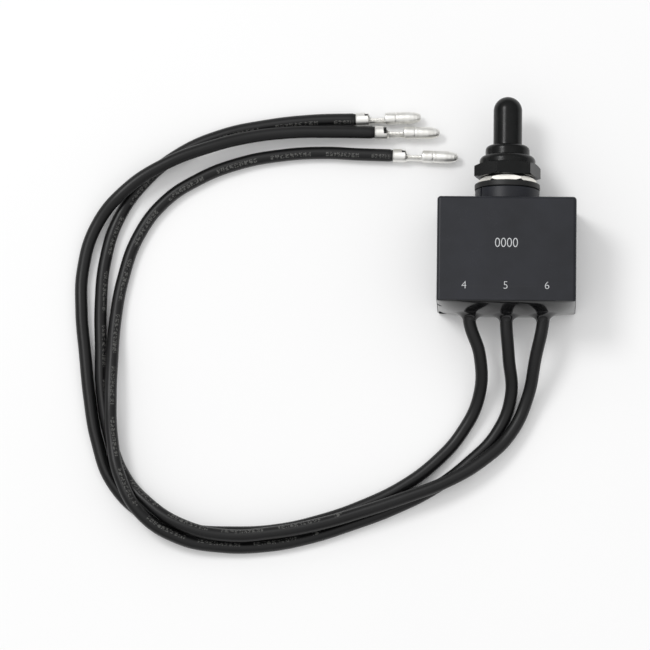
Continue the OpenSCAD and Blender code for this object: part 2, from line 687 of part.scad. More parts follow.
// Crimped bullet terminal: a grip on the insulation, an open trough on the strands and the bullet
module bullet(route, roll) color([0.85, 0.85, 0.82]) at_lead_end(route, roll) difference() {
    union() {
        cylinder(r = grip_r, h = grip_l);
        translate([0, 0, grip_l]) cylinder(r1 = grip_r, r2 = trough_r, h = step_l);
        cylinder(r = trough_r, h = bullet_a + sink);
        translate([0, 0, bullet_a]) rotate_extrude() bullet_section();
    }
    translate([0, 0, -over]) cylinder(r = grip_bore_r, h = grip_l + over);
    translate([0, 0, grip_l]) cylinder(r1 = grip_bore_r, r2 = trough_bore_r, h = step_l);
    cylinder(r = trough_bore_r, h = bullet_end - nose_l);
    translate([-2 * grip_r, -2 * grip_r, grip_l]) cube([2 * grip_r + wing_drop, 4 * grip_r, trough_l]);
}

// Half section of the bullet: a grooved barrel and a nose on an arc that is tangent to it
module bullet_section() {
    r = bullet_d / 2;
    drop = r - bullet_tip_d / 2;
    nose_r = (nose_l * nose_l + drop * drop) / (2 * drop);
    barrel_l = bullet_l - nose_l;
    polygon([[0, 0], [r - bullet_chamfer, 0], [r, bullet_chamfer], [r, groove_at - groove],
        [r - groove, groove_at], [r, groove_at + groove], [r, barrel_l], [0, barrel_l]]);
    translate([0, barrel_l]) intersection() {
        translate([r - nose_r, 0]) circle(nose_r, $fn = 256);
        square([r, nose_l]);
    }
}

module lead_4() lead(route_4);
module lead_5() lead(route_5);
module lead_6() lead(route_6);
module strands_4() strands(-1, route_4, roll_4);
module strands_5() strands(0, route_5, roll_5);
module strands_6() strands(1, route_6, roll_6);
module bullet_4() bullet(route_4, roll_4);
module bullet_5() bullet(route_5, roll_5);
module bullet_6() bullet(route_6, roll_6);

case();
potting();
gasket_washer();
panel_nut();
boot();
boot_insert();
bushing();
lever();
pivot_pin();
plunger();
plunger_spring();
frame_plate();
switch_base();
rocker();
rocker_contacts();
common_terminal();
terminal_4();
terminal_6();
fixed_contacts();
lead_4();
lead_5();
lead_6();
strands_4();
strands_5();
strands_6();
bullet_4();
bullet_5();
bullet_6();
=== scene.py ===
# %% [markdown]
# # A sealed toggle switch with three leads
# The switch lies on the back of its moulded case, on a pale table. A rubber boot covers its lever, black
# epoxy closes the end where the leads come out, and each lead ends in a tinned bullet terminal.
# The measured parts come from a CAD model, and this lesson dresses them: it gives every piece that shows
# its finished shape, and every piece its material. All lengths are metres, written in millimetres times MM.

# %% The measured frame
import math

import bmesh
import bpy
from mathutils import Matrix, Vector


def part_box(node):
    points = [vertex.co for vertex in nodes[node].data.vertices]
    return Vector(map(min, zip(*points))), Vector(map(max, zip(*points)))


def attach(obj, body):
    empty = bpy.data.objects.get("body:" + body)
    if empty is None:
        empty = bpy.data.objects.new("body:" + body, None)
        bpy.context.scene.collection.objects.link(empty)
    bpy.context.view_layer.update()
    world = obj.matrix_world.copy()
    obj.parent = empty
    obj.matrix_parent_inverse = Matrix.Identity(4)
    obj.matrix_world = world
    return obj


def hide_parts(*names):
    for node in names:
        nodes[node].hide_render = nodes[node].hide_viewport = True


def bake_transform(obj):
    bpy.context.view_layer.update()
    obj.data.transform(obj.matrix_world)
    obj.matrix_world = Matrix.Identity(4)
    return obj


MM = 0.001
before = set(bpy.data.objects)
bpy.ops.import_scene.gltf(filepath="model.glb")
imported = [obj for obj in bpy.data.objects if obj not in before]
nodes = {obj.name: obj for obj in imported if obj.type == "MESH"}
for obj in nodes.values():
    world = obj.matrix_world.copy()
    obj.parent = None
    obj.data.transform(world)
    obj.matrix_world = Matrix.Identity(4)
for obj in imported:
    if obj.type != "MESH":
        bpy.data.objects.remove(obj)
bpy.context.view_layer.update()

# %% [markdown]
# ## The camera
# The picture was taken from high above with a long lens, so the case shows its front face and a thin
# slice of the end with the leads. A camera could be aimed with a constraint, but a fixed place and three
# angles are simpler to read. The order ZXY keeps the tilt, the roll and the turn apart.

# %% Camera
CAMERA_PLACE = (0.00635, -0.26184, 1.4865)
# Tilt, roll and turn, in degrees
CAMERA_ANGLES = (9.286, 2.25, 0.809)
LENS_MM, SENSOR_MM = 290.6, 36
bpy.ops.object.camera_add(location=CAMERA_PLACE)
camera = bpy.context.object
camera.rotation_mode = "ZXY"
camera.rotation_euler = [math.radians(angle) for angle in CAMERA_ANGLES]
camera.data.lens = LENS_MM
camera.data.sensor_width = SENSOR_MM
bpy.context.scene.camera = camera
print("camera at", tuple(camera.location))

# %% [markdown]
# ## The leads
# Each lead is a stranded wire in black insulation, 3.6 mm thick. It leaves the epoxy straight, comes down
# to the table and swings round in a wide loop. A swept mesh would do, but a Bezier curve with a round
# bevel stays smooth at any distance and keeps its own length. Its knots carry the radius and the bevel is
# 1 deep, because Blender widens a curve's box by the radius of its knots. The points are those of the CAD
# route: x, y and the height of the lead's underside over the table, in millimetres.

# %% Leads
LEAD_R = 1.8 * MM
GRIP_L = 3.3 * MM
NECK_L = 1.0 * MM
# Share of its radius that the insulation keeps inside the grip
SQUEEZED = 0.86
# Steps of the curve from point to point, and steps of its bevel
LEAD_STEPS, LEAD_BEVEL = 10, 8
AXIS_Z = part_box("case")[1].z / 2

ROUTES = {
    "4": [
        (-10.5, -11, 10.2), (-10.5, -19, 10.2), (-7.4, -28.8, 7.6), (-7.6, -39.6, 2.4),
        (-12.3, -49.6, 0.2), (-19.7, -58.2, 0), (-29.3, -65.5, 0), (-40.5, -71.1, 0),
        (-52.4, -75.4, 0), (-64.9, -78.3, 0), (-77.5, -79.1, 0), (-90.2, -78.3, 0), (-102.3, -74.4, 0),
        (-112.1, -65.2, 0), (-116.9, -52.9, 0), (-119.3, -40.4, 0), (-120.8, -27.9, 0),
        (-122.1, -15.5, 0), (-121.9, -3.1, 0), (-118.2, 9.4, 1), (-109.9, 19.4, 3.6), (-98.3, 27.2, 4),
        (-86.5, 32, 3.6), (-74.6, 35.3, 2.8), (-62.5, 36.9, 2.3), (-50.5, 37.2, 2), (-38.3, 37.2, 1.6)],
    "5": [
        (0, -11, 10.2), (0, -19, 10.2), (0.8, -29, 7.6), (1.5, -39.6, 2.4), (-2.3, -49.6, 0.2),
        (-10.5, -58.5, 0), (-20.2, -65.9, 0), (-31.6, -71.8, 0), (-43.7, -76.5, 0), (-56, -80.5, 0),
        (-68.5, -82.9, 0), (-81, -83.2, 0.6), (-93, -81, 2.3), (-103.5, -74.5, 4.8),
        (-109.6, -64.3, 4.9), (-112.3, -52.4, 4), (-112.9, -41, 4), (-112.8, -30, 2.5),
        (-112.3, -18.4, 0.5), (-110.3, -5.8, 0), (-106.2, 6.4, 0), (-99.1, 16.4, 0), (-88.9, 23.5, 0),
        (-77.2, 28.2, 0), (-65.1, 30.6, 0), (-53, 31.4, 0.1), (-43, 31, 0.3), (-33, 30.7, 0.4)],
    "6": [
        (10.5, -11, 10.2), (10.5, -19, 10.2), (8.5, -28.9, 7.8), (6.2, -40.1, 3), (1.5, -50.2, 2),
        (-6.2, -58, 3.1), (-16.6, -64.4, 3.8), (-28.4, -69.1, 3.9), (-40.9, -73.4, 3.8),
        (-53.4, -77.1, 3.8), (-66, -79.5, 3.8), (-78.6, -80.4, 3.8), (-91.1, -77.8, 3.9),
        (-102.1, -70.9, 2.7), (-109.3, -62.2, 0.5), (-113.4, -51, 0), (-115.7, -38.6, 0),
        (-116.3, -26, 0), (-116.6, -13.5, 0), (-115.6, -0.8, 0), (-111.9, 11.7, 0), (-104.7, 22.4, 0),
        (-94.7, 30.8, 0), (-82.7, 36.3, 0), (-70, 39.2, 0), (-56.5, 40.8, 0.2), (-43.8, 41.2, 0.4)],
}
# Turn of each lead's print about the lead, in degrees
PRINT_TURN = {"4": 200, "5": 33, "6": 48}


def centreline(mark):
    """The middle of a lead, with points where it narrows and where it ends inside the terminal's grip."""
    points = [Vector((x * MM, y * MM, h * MM + LEAD_R)) for x, y, h in ROUTES[mark]]
    end = points[-1]
    ahead = (end - points[-2]).normalized()
    return points[:-1] + [end - NECK_L * ahead, end, end + GRIP_L * ahead]


def new_piece(name, data):
    """Puts a mesh or a curve into the scene as an object."""
    piece = bpy.data.objects.new(name, data)
    bpy.context.scene.collection.objects.link(piece)
    return piece


def round_curve(name, depth, steps):
    """Starts a curve in space with a round bevel and closed ends."""
    data = bpy.data.curves.new(name, "CURVE")
    data.dimensions = "3D"
    data.bevel_depth = depth
    data.bevel_resolution = steps
    data.use_fill_caps = True
    return data


def lay_lead(mark):
    """Draws one lead as a round curve through the points of its route."""
    points = centreline(mark)
    data = round_curve("insulation_" + mark, 1, LEAD_BEVEL)
    data.twist_mode = "Z_UP"
    data.resolution_u = LEAD_STEPS
    spline = data.splines.new("BEZIER")
    spline.bezier_points.add(len(points) - 1)
    for knot, point in zip(spline.bezier_points, points):
        knot.co = point
        knot.handle_left_type = knot.handle_right_type = "AUTO"
        knot.tilt = math.radians(PRINT_TURN[mark])
        knot.radius = LEAD_R
    for knot in spline.bezier_points[-2:]:
        knot.radius = SQUEEZED * LEAD_R
    lead = new_piece("insulation_" + mark, data)
    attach(lead, "housing")
    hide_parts("lead_" + mark)
    return lead


leads = {mark: lay_lead(mark) for mark in ROUTES}
for mark, lead in leads.items():
    print(lead.name, "length", round(lead.data.splines[0].calc_length() / MM, 1), "mm")

# %% [markdown]
# ## The bullet terminals
# A real bullet terminal is stamped from thin tinned brass and rolled up: a band that grips the
# insulation, a slot, an open trough for the strands and a bullet with a snap groove. It could be turned
# and then cut open, but rolling a flat grid by a formula follows the real blank, so the seam, the slot and
# the trough come from one table of stations. A Solidify modifier then gives the sheet its thickness.

# %% Bullet terminals
SHEET_T = 0.3 * MM
BLANK_COLUMNS = 72
# Turn of the terminals about their leads, in degrees
ROLL = -62
# Half of the slot's opening behind each grip, in degrees
SLOT_OPEN = {"4": 80, "5": 40, "6": 40}


def stations(slot):
    """The blank: distance from the lead's end, outer radius, half opening and rows up to the next one."""
    return [
        (0.0, 2.0, 5, 3), (0.3, 1.9, 5, 6), (2.35, 1.9, 5, 14), (2.6, 1.9, slot, 4), (3.4, 1.9, slot, 14),
        (4.2, 1.5, 98, 3), (5.0, 1.45, 100, 8), (8.1, 1.45, 100, 20), (8.6, 1.68, 2, 3), (8.9, 1.75, 2, 6),
        (11.3, 1.75, 2, 3), (11.6, 1.62, 2, 3), (11.9, 1.74, 2, 4), (12.6, 1.72, 2, 5), (13.6, 1.77, 2, 6),
        (15.2, 1.75, 2, 5), (16.4, 1.62, 2, 5), (17.5, 1.4, 2, 5), (18.3, 1.12, 2, 3), (18.6, 0.85, 2, 1),
        (18.62, 0.55, 2, 0)]


def smooth(t):
    """Eases a step from 0 to 1."""
    return t * t * (3 - 2 * t)


def blank_rows(slot):
    """Place, radius and half opening of every row of the blank."""
    rows = []
    table = stations(slot)
    for (z0, r0, a0, count), (z1, r1, a1, _) in zip(table, table[1:]):
        for k in range(count):
            t = k / count
            rows.append((z0 + (z1 - z0) * t, r0 + (r1 - r0) * smooth(t), a0 + (a1 - a0) * smooth(t)))
    return rows + [table[-1][:3]]


def lead_end(mark):
    """The place where a lead ends: local z runs on along the lead, and local -x to the terminal's seam."""
    a, b = centreline(mark)[-3:-1]
    ahead = (b - a).normalized()
    turn = Matrix.Rotation(math.atan2(ahead.y, ahead.x), 4, "Z")
    tilt = Matrix.Rotation(math.acos(ahead.z), 4, "Y")
    return Matrix.Translation(b) @ turn @ tilt @ Matrix.Rotation(math.radians(ROLL), 4, "Z")


def deselect_all():
    """Leaves nothing selected."""
    bpy.ops.object.select_all(action="DESELECT")


def select_alone(piece):
    """Selects one piece and makes it the active one."""
    deselect_all()
    piece.select_set(True)
    bpy.context.view_layer.objects.active = piece


def apply_modifiers(piece):
    """Applies every modifier of the piece, in their order."""
    select_alone(piece)
    for modifier in list(piece.modifiers):
        bpy.ops.object.modifier_apply(modifier=modifier.name)


def shade(piece, angle):
    """Shades a piece smooth, apart from the edges that are sharper than an angle in degrees."""
    select_alone(piece)
    bpy.ops.object.shade_smooth_by_angle(angle=math.radians(angle))


def close_edit():
    """Turns the faces of the piece in edit mode outwards, and leaves edit mode."""
    bpy.ops.mesh.select_all(action="SELECT")
    bpy.ops.mesh.normals_make_consistent()
    bpy.ops.object.mode_set(mode="OBJECT")


def roll_terminal(mark):
    """Rolls a flat grid up into one bullet terminal at the end of a lead."""
    rows = blank_rows(SLOT_OPEN[mark])
    deselect_all()
    bpy.ops.mesh.primitive_grid_add(x_subdivisions=BLANK_COLUMNS, y_subdivisions=len(rows) - 1, size=2)
    terminal = bpy.context.object
    terminal.name = "terminal_" + mark + "_bullet"
    for vertex in terminal.data.vertices:
        across = vertex.co.x
        z, r, half_open = rows[round((vertex.co.y + 1) / 2 * (len(rows) - 1))]
        angle = math.pi + across * (math.pi - math.radians(half_open))
        vertex.co = Vector((-r * math.cos(angle), r * math.sin(angle), z)) * MM
    terminal.data.transform(lead_end(mark))
    bpy.ops.object.mode_set(mode="EDIT")
    close_edit()
    wall = terminal.modifiers.new("sheet", "SOLIDIFY")
    wall.thickness = SHEET_T
    wall.offset = -1
    apply_modifiers(terminal)
    shade(terminal, 40)
    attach(terminal, "housing")
    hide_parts("bullet_" + mark)
    return terminal


terminals = {mark: roll_terminal(mark) for mark in ROUTES}
print("terminal faces:", [len(t.data.polygons) for t in terminals.values()])

# %% [markdown]
# ## The bared strands
# Past the insulation a lead is a twist of thin tinned wires. In the terminal they lie in the trough, and
# at the other end they reach into the epoxy, to the switch's solder lugs. One lumpy cylinder could stand
# for the bundle, but seven thin curves wound round each other are what it is, and they cost little.

# %% Strands
STRAND_R = 0.23 * MM
STRAND_CIRCLE = 0.46 * MM
STRAND_BEVEL = 2
STRANDS_ROUND = 6
WIND_STEPS = 16
WIND_TURNS = 0.8
TROUGH_FLOOR = 0.4 * MM
TROUGH_STRANDS = 4.9 * MM
LUG_START = -11 * MM
LUG_STRANDS = 6.5 * MM


def bundle_paths(place, length):
    """The centrelines of one twisted bundle: a straight strand and six that wind round it."""
    paths = []
    for k in range(STRANDS_ROUND + 1):
        reach = STRAND_CIRCLE if k else 0
        path = []
        for step in range(WIND_STEPS + 1):
            t = step / WIND_STEPS
            turn = math.tau * (k / STRANDS_ROUND + WIND_TURNS * t)
            path.append(place @ Vector((reach * math.cos(turn), reach * math.sin(turn), length * t)))
        paths.append(path)
    return paths


def wind_strands(mark):
    """Winds the strands that a lead bares at its two ends, as one mesh."""
    x = ROUTES[mark][0][0] * MM
    in_trough = lead_end(mark) @ Matrix.Translation((TROUGH_FLOOR, 0, GRIP_L))
    in_lug = Matrix.Translation((x, LUG_START, AXIS_Z)) @ Matrix.Rotation(-math.pi / 2, 4, "X")
    data = round_curve("tinned_strands_" + mark, STRAND_R, STRAND_BEVEL)
    for path in bundle_paths(in_trough, TROUGH_STRANDS) + bundle_paths(in_lug, LUG_STRANDS):
        spline = data.splines.new("POLY")
        spline.points.add(len(path) - 1)
        for knot, point in zip(spline.points, path):
            knot.co = (*point, 1)
    bundle = new_piece("tinned_strands_" + mark, data)
    select_alone(bundle)
    bpy.ops.object.convert(target="MESH")
    bundle = bpy.context.object
    shade(bundle, 50)
    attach(bundle, "housing")
    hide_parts("strands_" + mark)
    return bundle


strands = {mark: wind_strands(mark) for mark in ROUTES}
print("strand faces:", [len(s.data.polygons) for s in strands.values()])

# %% [markdown]
# ## Where the leads leave the epoxy
# The leads come out of the epoxy at the tip of its meniscus.

# %% [markdown]
# ## The case
# The case is one plastic moulding: a box that is open at the end with the leads, and a round boss on the
# other end. A cube is inset and extruded inwards to hollow it, as a mould's core does, and its outer edges
# are bevelled after that, because an inset wider than a rounded corner would fold over itself.

# %% Case box
case_low, case_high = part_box("case")
CASE_TOP = -case_low.y
CASE_WALL = case_high.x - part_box("potting")[1].x
CASE_ROUND, CORNER_STEPS = 1.0 * MM, 6
RIM_ROUND, RIM_STEPS = 0.2 * MM, 2
# A face whose normal has at least this share along the axis belongs to the rim
FACING = 0.9
NEAR = 0.01 * MM


def edit(piece, kind, action="DESELECT"):
    """Opens the piece in edit mode to pick corners, edges or faces, with none or all selected."""
    select_alone(piece)
    bpy.ops.object.mode_set(mode="EDIT")
    bpy.ops.mesh.select_mode(type=kind)
    bpy.ops.mesh.select_all(action=action)
    return bmesh.from_edit_mesh(piece.data)


def pick(piece, mesh, elements, test):
    """Selects the elements whose corners all pass the test, and says how many they are."""
    chosen = [e for e in elements if all(test(v.co) for v in e.verts)]
    for element in chosen:
        element.select_set(True)
    mesh.select_flush_mode()
    bmesh.update_edit_mesh(piece.data)
    return len(chosen)


def extrude_along(distance):
    """Extrudes what is selected along the toggle axis."""
    bpy.ops.mesh.extrude_region_move(TRANSFORM_OT_translate={"value": (0, distance, 0)})


def on_rim(co):
    """True on the open end of the case."""
    return abs(co.y + CASE_TOP) < NEAR


def on_corner(co):
    """True at the outer corners of the box."""
    return abs(abs(co.x) - case_high.x) < NEAR and min(co.z, case_high.z - co.z) < NEAR


deselect_all()
bpy.ops.mesh.primitive_cube_add(size=1, location=(0, 0, case_high.z / 2))
case = bpy.context.object
case.name = "case_shell"
case.scale = (2 * case_high.x, 2 * CASE_TOP, case_high.z)
bpy.ops.object.transform_apply()

mesh = edit(case, "FACE")
pick(case, mesh, mesh.faces, on_rim)
bpy.ops.mesh.inset(thickness=CASE_WALL)
extrude_along(2 * CASE_TOP - CASE_WALL)
bpy.ops.object.mode_set(mode="OBJECT")

mesh = edit(case, "EDGE")
off_rim = [e for e in mesh.edges if not all(on_rim(v.co) for v in e.verts)]
pick(case, mesh, off_rim, on_corner)
bpy.ops.mesh.bevel(offset=CASE_ROUND, segments=CORNER_STEPS)
bpy.ops.object.mode_set(mode="OBJECT")

mesh = edit(case, "EDGE")
turning = [e for e in mesh.edges if len({f.normal.y < -FACING for f in e.link_faces}) > 1]
rim_edges = pick(case, mesh, turning, on_rim)
bpy.ops.mesh.bevel(offset=RIM_ROUND, segments=RIM_STEPS)
bpy.ops.object.mode_set(mode="OBJECT")
print("case box:", len(case.data.polygons), "faces,", rim_edges, "rim edges rounded")

# %% [markdown]
# ## The boss on the case
# The boss carries the bushing and has a narrow notch down its side. Round work is quickest as a spin: half
# an outline goes once round the toggle axis. Boolean modifiers then join the boss to the box and drill it.

# %% Boss, bore and notch
BOSS_R = 9.2 * MM
BOSS_ROUND = 0.3 * MM
BUSHING_HOLE_R = 6.0 * MM
NOTCH_DEPTH, NOTCH_W = 0.35 * MM, 0.5 * MM
# Turn of the notch about the toggle axis, from the front to the left, in degrees
NOTCH_TURN = 53.5
OVER = 1.0 * MM
MERGE = 0.001 * MM
boss_h = case_high.y - CASE_TOP


def arc(middle_r, middle_a, radius, start, end, count):
    """Points of an arc in an outline: angles in degrees, from the way out of the axis towards the tip."""
    turns = [math.radians(start + (end - start) * k / count) for k in range(count + 1)]
    return [(middle_r + radius * math.cos(t), middle_a + radius * math.sin(t)) for t in turns]


def start_outline(name, points):
    """Starts a piece as a closed outline, in edit mode with all of it selected."""
    count = len(points)
    data = bpy.data.meshes.new(name)
    data.from_pydata(points, [(k, (k + 1) % count) for k in range(count)], [])
    piece = new_piece(name, data)
    edit(piece, "EDGE", "SELECT")
    return piece


def spin_outline(name, outline, steps=128):
    """Spins a closed outline round the toggle axis: its points are radius and level over the case."""
    piece = start_outline(name, [(r, CASE_TOP + a, AXIS_Z) for r, a in outline])
    bpy.ops.mesh.spin(steps=steps, angle=math.tau, center=(0, 0, AXIS_Z), axis=(0, 1, 0))
    bpy.ops.mesh.select_all(action="SELECT")
    bpy.ops.mesh.remove_doubles(threshold=MERGE)
    bpy.ops.mesh.delete_loose()
    close_edit()
    return piece


def combine(piece, tool, operation):
    """Joins, cuts or trims a piece with a tool that is thrown away afterwards."""
    step = piece.modifiers.new("combine", "BOOLEAN")
    step.operation = operation
    step.solver = "EXACT"
    step.object = tool
    apply_modifiers(piece)
    bpy.data.objects.remove(tool, do_unlink=True)


def smooth_shade(piece, angle=35):
    """Shades the rounded edges smooth and keeps the large flat faces flat."""
    shade(piece, angle)
    weights = piece.modifiers.new("flat_faces", "WEIGHTED_NORMAL")
    weights.keep_sharp = True
    apply_modifiers(piece)


boss = spin_outline("boss", [(0, -CASE_WALL / 2), (BOSS_R, -CASE_WALL / 2)]
                    + arc(BOSS_R - BOSS_ROUND, boss_h - BOSS_ROUND, BOSS_ROUND, 0, 90, 4) + [(0, boss_h)])
combine(case, boss, "UNION")
bore = spin_outline("bore", [(0, -CASE_WALL - OVER), (BUSHING_HOLE_R, -CASE_WALL - OVER),
                             (BUSHING_HOLE_R, boss_h + OVER), (0, boss_h + OVER)])
combine(case, bore, "DIFFERENCE")
deselect_all()
bpy.ops.mesh.primitive_cube_add(size=1)
notch = bpy.context.object
notch.data.transform(Matrix.Diagonal((NOTCH_W, boss_h + OVER, NOTCH_DEPTH + OVER, 1)))
notch.data.transform(Matrix.Translation((0, (boss_h + OVER) / 2, BOSS_R + (OVER - NOTCH_DEPTH) / 2)))
notch.data.transform(Matrix.Rotation(math.radians(-NOTCH_TURN), 4, "Y"))
notch.data.transform(Matrix.Translation((0, CASE_TOP, AXIS_Z)))
combine(case, notch, "DIFFERENCE")
smooth_shade(case)
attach(case, "housing")
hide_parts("case")
print("case:", len(case.data.polygons), "faces")

# %% [markdown]
# ## The epoxy
# The case is filled with black epoxy, which bulges out of it, creeps up each lead in a small ring and wets
# the rim as a thin film that has chipped off at one place on the left. Liquid forms like these are hard to
# extrude, so a fine grid is lifted by a height formula, like a terrain, and its border is then extruded
# back into the case to close the block.

# %% Epoxy block
# The heights and widths of the formula are plain millimetres
POT_CROWN = 2.4
POT_FILM, FILM_EDGE = 0.2, 1.5
MENISCUS_W, MENISCUS_H = 2.8, 1.9
# The chip in the film: place across the face and up it from the toggle axis, and size across and up
CHIP = (-19.2, 4.6, 0.7, 0.9)
CHIP_DEPTH, CHIP_EDGE = 0.3, 0.15
# The waves that make its edge ragged: height, and radians to the millimetre across and up
CHIP_WAVES = [(0.18, 5.1, 2.3), (0.12, -4, 11)]
FACE_GRID = (220, 134)
FILM_HALF = (case_high.x - RIM_ROUND, case_high.z / 2 - RIM_ROUND)
POT_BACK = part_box("potting")[1].y


def meniscus(distance):
    """How high the epoxy stands round a lead, at a distance from its middle."""
    t = min(max((distance - LEAD_R / MM) / MENISCUS_W, 0), 1)
    return MENISCUS_H * (1 - math.sqrt(max(1 - (1 - t) ** 2, 0)))


def chip(x, z):
    """How deep the film has broken away at a place on the face."""
    middle_x, middle_z, across, up = CHIP
    ragged = sum(height * math.sin(a * x + u * z) for height, a, u in CHIP_WAVES)
    reach = math.hypot((x - middle_x) / across, (z - middle_z) / up) + ragged
    return CHIP_DEPTH * min(max((1 - reach) / CHIP_EDGE, 0), 1)


def face_height(x, z):
    """Height of the epoxy over the rim of the case, all in millimetres."""
    half_x, half_z = (h / MM for h in FILM_HALF)
    border = min(half_x - abs(x), half_z - abs(z))
    film = POT_FILM * math.sqrt(1 - (1 - min(border / FILM_EDGE, 1)) ** 2)
    crown = POT_CROWN * max(1 - (x / half_x) ** 4, 0) * max(1 - (z / half_z) ** 2, 0)
    wet = max(meniscus(math.hypot(x - route[0][0], z)) for route in ROUTES.values())
    return film + crown + wet - chip(x, z)


def inside_corner(x, z):
    """Pulls a point of the square grid into the rounded outline of the case."""
    half_x, half_z = FILM_HALF
    over_x, over_z = abs(x) - (half_x - CASE_ROUND), abs(z) - (half_z - CASE_ROUND)
    reach = math.hypot(over_x, over_z)
    if over_x <= 0 or over_z <= 0 or reach <= CASE_ROUND:
        return x, z
    pull = 1 - CASE_ROUND / reach
    return x - math.copysign(over_x * pull, x), z - math.copysign(over_z * pull, z)


deselect_all()
bpy.ops.mesh.primitive_grid_add(x_subdivisions=FACE_GRID[0], y_subdivisions=FACE_GRID[1], size=2)
epoxy = bpy.context.object
epoxy.name = "epoxy_fill"
for vertex in epoxy.data.vertices:
    x, z = inside_corner(vertex.co.x * FILM_HALF[0], vertex.co.y * FILM_HALF[1])
    vertex.co = (x, -CASE_TOP - face_height(x / MM, z / MM) * MM, AXIS_Z + z)
edit(epoxy, "EDGE", "SELECT")
bpy.ops.mesh.region_to_loop()
extrude_along(RIM_ROUND)
inner = ((case_high.x - CASE_WALL) / FILM_HALF[0], 1, (case_high.z / 2 - CASE_WALL) / FILM_HALF[1])
bpy.ops.mesh.extrude_region_move()
bpy.ops.transform.resize(value=inner, center_override=(0, -CASE_TOP, AXIS_Z))
extrude_along(POT_BACK + CASE_TOP - RIM_ROUND)
bpy.ops.mesh.edge_face_add()
close_edit()
print("epoxy block:", len(epoxy.data.polygons), "faces, back at y =", round(POT_BACK / MM, 2), "mm")

# %% [markdown]
# ## The broken corner
# The corner of the case is broken at its lower left, and the epoxy with it. It could be dented by hand, but
# a prism that is cut out of both pieces by a Boolean leaves the clean faces of a brittle break.

# %% Broken corner
# The corners of the prism, across the face and over the table in millimetres, and its depth
BROKEN = [(-19.3, 5.2), (-18.7, 6.0), (-16.8, 2.6), (-17.6, 1.0), (-19.3, 1.0)]
BROKEN_DEPTH = 1.6 * MM


def broken_corner():
    """The prism that is missing from the corner of the case and of the epoxy."""
    prism = start_outline("broken_corner", [(x * MM, -CASE_TOP - OVER, z * MM) for x, z in BROKEN])
    bpy.ops.mesh.edge_face_add()
    extrude_along(OVER + BROKEN_DEPTH)
    close_edit()
    return prism


for piece in (case, epoxy):
    combine(piece, broken_corner(), "DIFFERENCE")
shade(epoxy, 50)
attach(epoxy, "housing")
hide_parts("potting")
print("broken case:", len(case.data.polygons), "faces, epoxy:", len(epoxy.data.polygons), "faces")

# %% [markdown]
# ## The gasket
# A rubber washer lies on the boss and seals the panel. It could be a torus that is pressed flat, but a
# spun outline gives the flat faces and the rounds at both edges of its rim their true sizes at once.

# %% Gasket
gasket_low, gasket_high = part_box("gasket_washer")
GASKET_ROUND = 0.35 * MM
gasket_r = gasket_high.x
gasket_a = gasket_low.y - CASE_TOP
gasket_top = gasket_high.y - CASE_TOP
gasket = spin_outline(
    "gasket_ring",
    [(BUSHING_HOLE_R, gasket_a)]
    + arc(gasket_r - GASKET_ROUND, gasket_a + GASKET_ROUND, GASKET_ROUND, -90, 0, 5)
    + arc(gasket_r - GASKET_ROUND, gasket_top - GASKET_ROUND, GASKET_ROUND, 0, 90, 5)
    + [(BUSHING_HOLE_R, gasket_top)])
smooth_shade(gasket)
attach(gasket, "housing")
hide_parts("gasket_washer")
print("gasket:", round(2 * gasket_r / MM, 2), "mm across")

# %% [markdown]
# ## The boot
# The boot is moulded rubber: a sealing lip, a hexagon to turn it by, a dome, a shoulder and a finger over
# the lever. Everything but the hexagon is round, so its wall is one closed outline that is spun, with
# points close together where the rubber has to bend. The hexagon is a six-sided prism whose corners are
# trimmed by a spun double cone, as they would be on a lathe, and is then joined to the rest.

# %% Boot body
boot_low, boot_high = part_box("boot")
BOOT_A = boot_low.y - CASE_TOP
TIP_A = boot_high.y - CASE_TOP
LIP_R, LIP_H = 7.35 * MM, 0.15 * MM
HEX_H, BEVEL_H = 3.2 * MM, 0.6 * MM
DOME_R, DOME_H, DOME_ROUND = 8.0 * MM, 2.5 * MM, 1.6 * MM
LEDGE, LEDGE_H = 0.25 * MM, 0.2 * MM
SHOULDER_R, SHOULDER_H, SHOULDER_ROUND = 6.3 * MM, 2.95 * MM, 1.2 * MM
FINGER_R, FINGER_FILLET = 4.1 * MM, 0.35 * MM
BORE_R, SHOULDER_BORE_R = 3.2 * MM, 5.0 * MM
BUSHING_BORE_R, INSERT_R = 6.15 * MM, 6.9 * MM
SHOULDER_WALL = 1.3 * MM
BEND_STEP = 0.5 * MM
hex_a = BOOT_A + LIP_H
bevel_a = hex_a + HEX_H
dome_a = bevel_a + BEVEL_H
shoulder_a = dome_a + DOME_H
finger_a = shoulder_a + SHOULDER_H
round_a = TIP_A - FINGER_R


def straight(r0, a0, r1, a1):
    """Points along a straight wall, close enough together to bend."""
    count = max(round(math.hypot(r1 - r0, a1 - a0) / BEND_STEP), 1)
    return [(r0 + (r1 - r0) * k / count, a0 + (a1 - a0) * k / count) for k in range(count + 1)]


outside = (
    straight(LIP_R, BOOT_A, LIP_R, hex_a)
    + straight(DOME_R - 2 * LEDGE, hex_a + LEDGE, DOME_R - 2 * LEDGE, bevel_a)
    + [(DOME_R, dome_a)]
    + arc(DOME_R - DOME_ROUND, shoulder_a - DOME_ROUND, DOME_ROUND, 0, 80, 12)
    + [(SHOULDER_R, shoulder_a - LEDGE_H)]
    + straight(SHOULDER_R, shoulder_a + LEDGE, SHOULDER_R, finger_a - SHOULDER_ROUND)
    + arc(SHOULDER_R - SHOULDER_ROUND, finger_a - SHOULDER_ROUND, SHOULDER_ROUND, 0, 90, 8)
    + arc(FINGER_R + FINGER_FILLET, finger_a + FINGER_FILLET, FINGER_FILLET, -90, -180, 5)
    + straight(FINGER_R, finger_a + 2 * FINGER_FILLET, FINGER_R, round_a - BEND_STEP)
    + arc(0, round_a, FINGER_R, 0, 90, 20))
